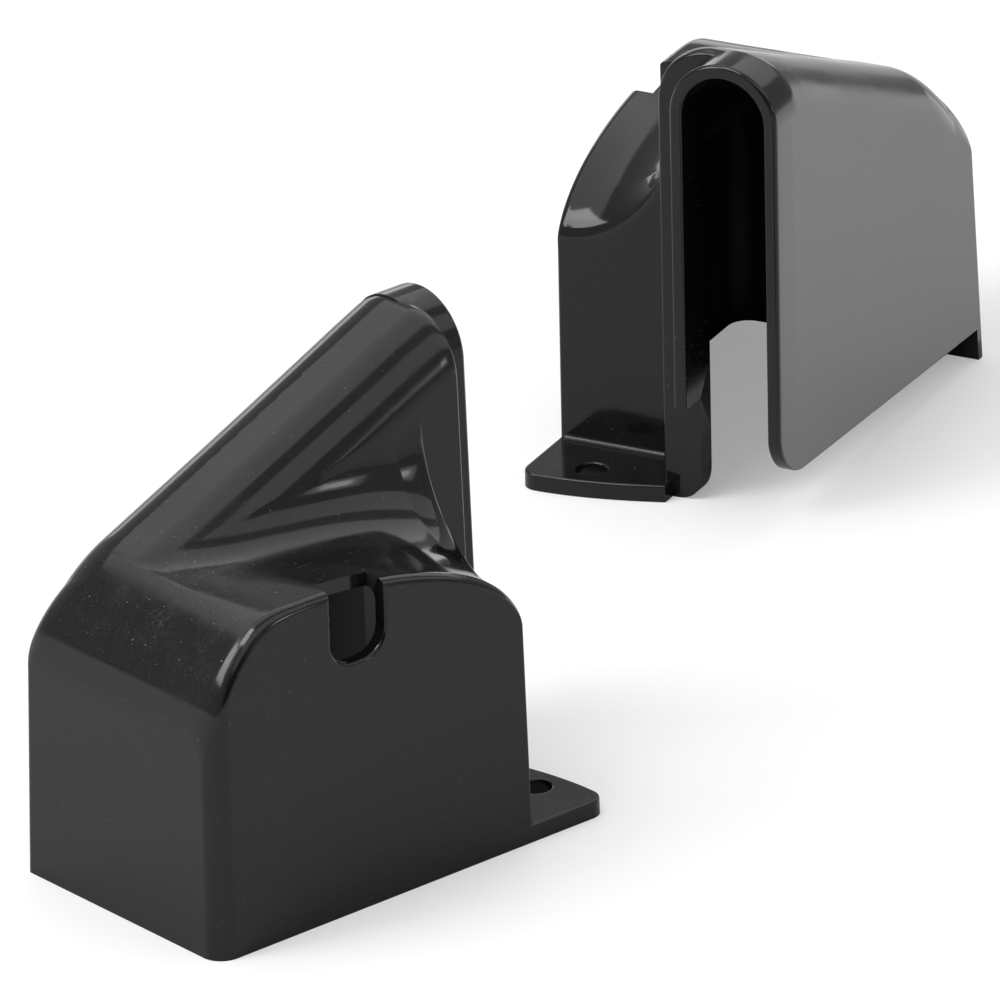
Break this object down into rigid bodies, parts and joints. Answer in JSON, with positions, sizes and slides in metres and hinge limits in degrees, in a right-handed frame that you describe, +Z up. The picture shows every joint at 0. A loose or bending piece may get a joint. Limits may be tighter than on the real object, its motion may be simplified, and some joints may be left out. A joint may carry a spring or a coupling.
{
  "type": "skate blade guard",
  "caption": "Pair of glossy black moulded guards, each a hollow open-bottomed box with a scooped top, an arched blade channel along one side and a screw tab.",
  "frame": {"origin": "on the floor, at the centre of the pair's bounding box", "axes": "+Z up; +X along the near guard from its plain end to its open channel end; +Y from its notched face towards its flat side"},
  "size_m": [0.3312, 0.1833, 0.1094],
  "materials": {
    "guard_plastic": "glossy moulded surface with fine handling scratches and dust"
  },
  "bodies": {
    "near_guard": {"guard_near": "guard_plastic"},
    "far_guard": {"guard_far": "guard_plastic"}
  },
  "joints": [
    {"name": "far_guard_lift", "type": "slide", "parent": "near_guard", "child": "far_guard", "axis": [0, 0, 1], "range_m": [0, 0.15]}
  ]
}
